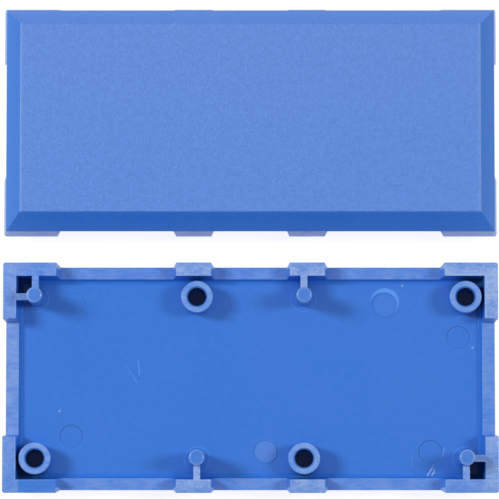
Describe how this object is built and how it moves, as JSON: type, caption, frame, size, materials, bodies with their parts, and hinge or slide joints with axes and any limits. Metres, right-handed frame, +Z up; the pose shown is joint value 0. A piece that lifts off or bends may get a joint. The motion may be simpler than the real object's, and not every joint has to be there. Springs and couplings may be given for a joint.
{
  "type": "electrical junction box",
  "caption": "Small flat plastic junction box in twin half shells with bevelled faces, cable window notches, and moulded pins that plug into socket tubes.",
  "frame": {"origin": "on the surface that both halves stand on, midway between them", "axes": "+X along the long side, +Y from the base towards the cover, +Z up out of the open base"},
  "size_m": [0.088, 0.0868, 0.0121],
  "materials": {
    "base_plastic": "satin moulded",
    "cover_plastic": "fine spark-eroded texture"
  },
  "bodies": {
    "base": {"base_shell": "base_plastic"},
    "cover": {"cover_shell": "cover_plastic"}
  },
  "joints": [
    {"name": "cover_carry", "type": "slide", "parent": "base", "child": "cover", "axis": [0, -0.7071, 0.7071], "range_m": [0, 0.06491]}
  ]
}
